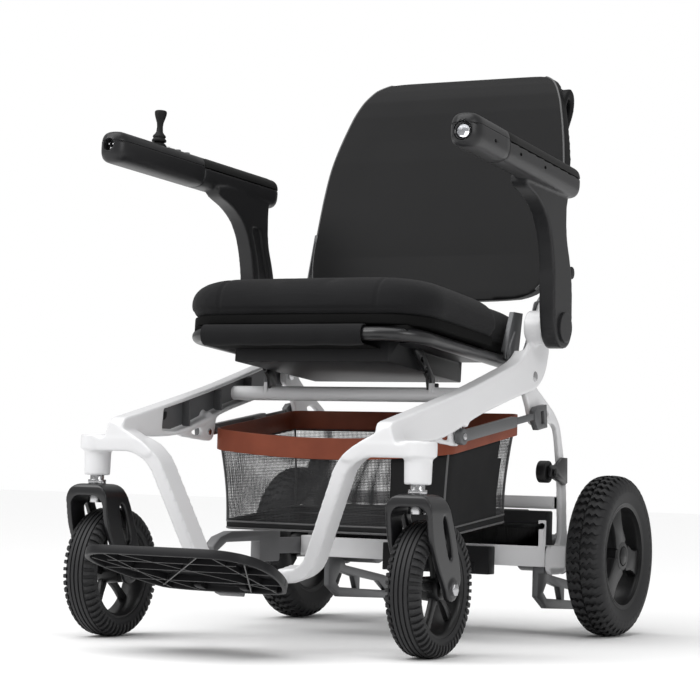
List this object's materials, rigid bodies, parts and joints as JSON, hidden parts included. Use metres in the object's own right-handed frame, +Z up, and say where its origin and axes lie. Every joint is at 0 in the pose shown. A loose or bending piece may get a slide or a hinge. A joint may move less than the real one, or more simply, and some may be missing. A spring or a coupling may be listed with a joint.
{
  "type": "folding power wheelchair",
  "caption": "Folding power wheelchair with cushioned seat, reclining shell back, flip-up arms with joystick, flip-up footplate, under-seat basket, swivel casters and driven rear wheels.",
  "frame": {"origin": "centre of the bounding box on the floor", "axes": "+Z up; -Y the way the occupant faces; +X the occupant's left"},
  "size_m": [0.624, 1.1039, 0.91],
  "materials": {
    "white_frame": "satin white powder coat",
    "black_tube": "satin black powder coat",
    "black_panel": "matt black moulding",
    "black_fabric": "black knit over foam",
    "back_panel": "smooth matt black skin over a foam-cored shell",
    "steel": "plain steel",
    "grey_metal": "grey anodised",
    "grey_plastic": "grey moulding",
    "leather_strap": "brown leather",
    "mesh": "see-through mesh with black panels and piping",
    "black_plastic": "satin black moulding",
    "soft_pad": "soft-touch black",
    "wheel_plastic": "black glass-filled nylon",
    "tyre": "solid black rubber tread",
    "lens": "clear lens",
    "stick_rubber": "black rubber"
  },
  "bodies": {
    "chassis": {"side_frame_left": "white_frame", "side_frame_right": "white_frame", "front_leg_left": "white_frame", "front_leg_right": "white_frame", "front_crossbar": "white_frame", "seat_tube": "black_tube", "seat_pan": "black_panel", "seat_sling": "black_fabric", "seat_cushion": "black_fabric", "seat_links": "black_tube", "head_bearings": "steel", "back_brackets": "grey_metal", "brace_rails": "grey_metal", "basket_band": "leather_strap", "basket_bag": "mesh", "frame_pins": "steel"},
    "rear_frame": {"upright_left": "white_frame", "upright_right": "white_frame", "rear_crossbeams": "white_frame", "battery_pack": "black_plastic", "controller_box": "black_plastic", "motor_left": "grey_metal", "motor_right": "grey_metal", "anti_tip_arms": "grey_metal", "roller_arms": "black_tube", "carry_handle": "grey_plastic"},
    "braces": {"brace_slides": "grey_metal"},
    "footplate": {"footplate": "black_plastic"},
    "lever_left": {"motor_lever_left": "grey_plastic"},
    "lever_right": {"motor_lever_right": "grey_plastic"},
    "anti_tip_left": {"anti_tip_wheel_left": "wheel_plastic"},
    "anti_tip_right": {"anti_tip_wheel_right": "wheel_plastic"},
    "transport_roller_left": {"roller_left": "wheel_plastic"},
    "transport_roller_right": {"roller_right": "wheel_plastic"},
    "rear_wheel_left": {"rear_tyre_left": "tyre", "rear_rim_left": "wheel_plastic"},
    "rear_wheel_right": {"rear_tyre_right": "tyre", "rear_rim_right": "wheel_plastic"},
    "caster_fork_left": {"fork_left": "black_tube", "caster_stem_left": "steel"},
    "caster_fork_right": {"fork_right": "black_tube", "caster_stem_right": "steel"},
    "caster_wheel_left": {"caster_tyre_left": "tyre", "caster_rim_left": "wheel_plastic"},
    "caster_wheel_right": {"caster_tyre_right": "tyre", "caster_rim_right": "wheel_plastic"},
    "backrest": {"back_shell": "back_panel", "back_straps": "grey_metal"},
    "back_knob": {"back_knob": "black_plastic"},
    "arm_left_body": {"arm_left": "black_plastic", "arm_pad_left": "soft_pad", "arm_cap_left": "black_plastic", "lens_left": "lens"},
    "arm_right_body": {"arm_right": "black_plastic", "arm_pad_right": "soft_pad", "control_module": "black_plastic"},
    "joystick_gimbal": {"joystick_gimbal": "steel"},
    "joystick_stick": {"joystick_stick": "stick_rubber"},
    "power_button": {"power_button": "grey_plastic"},
    "speed_button": {"speed_button": "grey_plastic"}
  },
  "joints": [
    {"name": "fold", "type": "hinge", "parent": "chassis", "child": "rear_frame", "pos_m": [0, 0.15, 0.402], "axis": [1, 0, 0], "range_deg": [-55, 0], "deforming": ["basket_bag"]},
    {"name": "brace_slide", "type": "slide", "parent": "chassis", "child": "braces", "axis": [0, 0.9896, 0.1438], "range_m": [-0.0655, 0]},
    {"name": "footplate_flip", "type": "hinge", "parent": "chassis", "child": "footplate", "pos_m": [0, -0.322, 0.097], "axis": [1, 0, 0], "range_deg": [-65, 0]},
    {"name": "rear_wheel_spin_left", "type": "hinge", "parent": "rear_frame", "child": "rear_wheel_left", "pos_m": [0.2815, 0.34, 0.127], "axis": [1, 0, 0], "continuous": true},
    {"name": "caster_swivel_left", "type": "hinge", "parent": "chassis", "child": "caster_fork_left", "pos_m": [0.2594, -0.3095, 0.25], "axis": [0, 0, 1], "continuous": true},
    {"name": "caster_spin_left", "type": "hinge", "parent": "caster_fork_left", "child": "caster_wheel_left", "pos_m": [0.2594, -0.2663, 0.094], "axis": [1, 0, 0], "continuous": true},
    {"name": "arm_flip_left", "type": "hinge", "parent": "chassis", "child": "arm_left_body", "pos_m": [0.263, 0.145, 0.477], "axis": [1, 0, 0], "range_deg": [-80, 0]},
    {"name": "freewheel_lever_left", "type": "hinge", "parent": "rear_frame", "child": "lever_left", "pos_m": [0.158, 0.338, 0.16], "axis": [0, 0, 1], "range_deg": [-40, 0]},
    {"name": "anti_tip_spin_left", "type": "hinge", "parent": "rear_frame", "child": "anti_tip_left", "pos_m": [0.199, 0.525, 0.045], "axis": [1, 0, 0], "continuous": true},
    {"name": "roller_spin_left", "type": "hinge", "parent": "rear_frame", "child": "transport_roller_left", "pos_m": [0.2, 0.256, 0.257], "axis": [1, 0, 0], "continuous": true},
    {"name": "rear_wheel_spin_right", "type": "hinge", "parent": "rear_frame", "child": "rear_wheel_right", "pos_m": [-0.2815, 0.34, 0.127], "axis": [1, 0, 0], "continuous": true},
    {"name": "caster_swivel_right", "type": "hinge", "parent": "chassis", "child": "caster_fork_right", "pos_m": [-0.2594, -0.3095, 0.25], "axis": [0, 0, 1], "continuous": true},
    {"name": "caster_spin_right", "type": "hinge", "parent": "caster_fork_right", "child": "caster_wheel_right", "pos_m": [-0.2594, -0.2663, 0.094], "axis": [1, 0, 0], "continuous": true},
    {"name": "arm_flip_right", "type": "hinge", "parent": "chassis", "child": "arm_right_body", "pos_m": [-0.263, 0.145, 0.477], "axis": [1, 0, 0], "range_deg": [-80, 0]},
    {"name": "freewheel_lever_right", "type": "hinge", "parent": "rear_frame", "child": "lever_right", "pos_m": [-0.158, 0.338, 0.16], "axis": [0, 0, 1], "range_deg": [0, 40]},
    {"name": "anti_tip_spin_right", "type": "hinge", "parent": "rear_frame", "child": "anti_tip_right", "pos_m": [-0.199, 0.525, 0.045], "axis": [1, 0, 0], "continuous": true},
    {"name": "roller_spin_right", "type": "hinge", "parent": "rear_frame", "child": "transport_roller_right", "pos_m": [-0.2, 0.256, 0.257], "axis": [1, 0, 0], "continuous": true},
    {"name": "back_fold", "type": "hinge", "parent": "chassis", "child": "backrest", "pos_m": [0, 0.19, 0.51], "axis": [1, 0, 0], "range_deg": [0, 85]},
    {"name": "knob_pull", "type": "slide", "parent": "backrest", "child": "back_knob", "axis": [1, 0, 0], "range_m": [0, 0.006], "stiffness_N_per_m": 200, "springref_m": -0.005},
    {"name": "joystick_fore_aft", "type": "hinge", "parent": "arm_right_body", "child": "joystick_gimbal", "pos_m": [-0.2832, -0.13829, 0.73125], "axis": [0.9985, -0.0548, 0], "range_deg": [-20, 20], "stiffness_Nm_per_rad": 0.3},
    {"name": "joystick_side", "type": "hinge", "parent": "joystick_gimbal", "child": "joystick_stick", "pos_m": [-0.2832, -0.13829, 0.73125], "axis": [0.0547, 0.997, -0.0548], "range_deg": [-20, 20], "stiffness_Nm_per_rad": 0.3},
    {"name": "power_press", "type": "slide", "parent": "arm_right_body", "child": "power_button", "axis": [0.003, 0.0547, 0.9985], "range_m": [-0.0015, 0], "stiffness_N_per_m": 800, "springref_m": 0.001},
    {"name": "speed_press", "type": "slide", "parent": "arm_right_body", "child": "speed_button", "axis": [0.003, 0.0547, 0.9985], "range_m": [-0.0015, 0], "stiffness_N_per_m": 800, "springref_m": 0.001}
  ],
  "couplings": [
    {"joint": "brace_slide", "follows": "fold", "m_per_rad": 0.068}
  ]
}
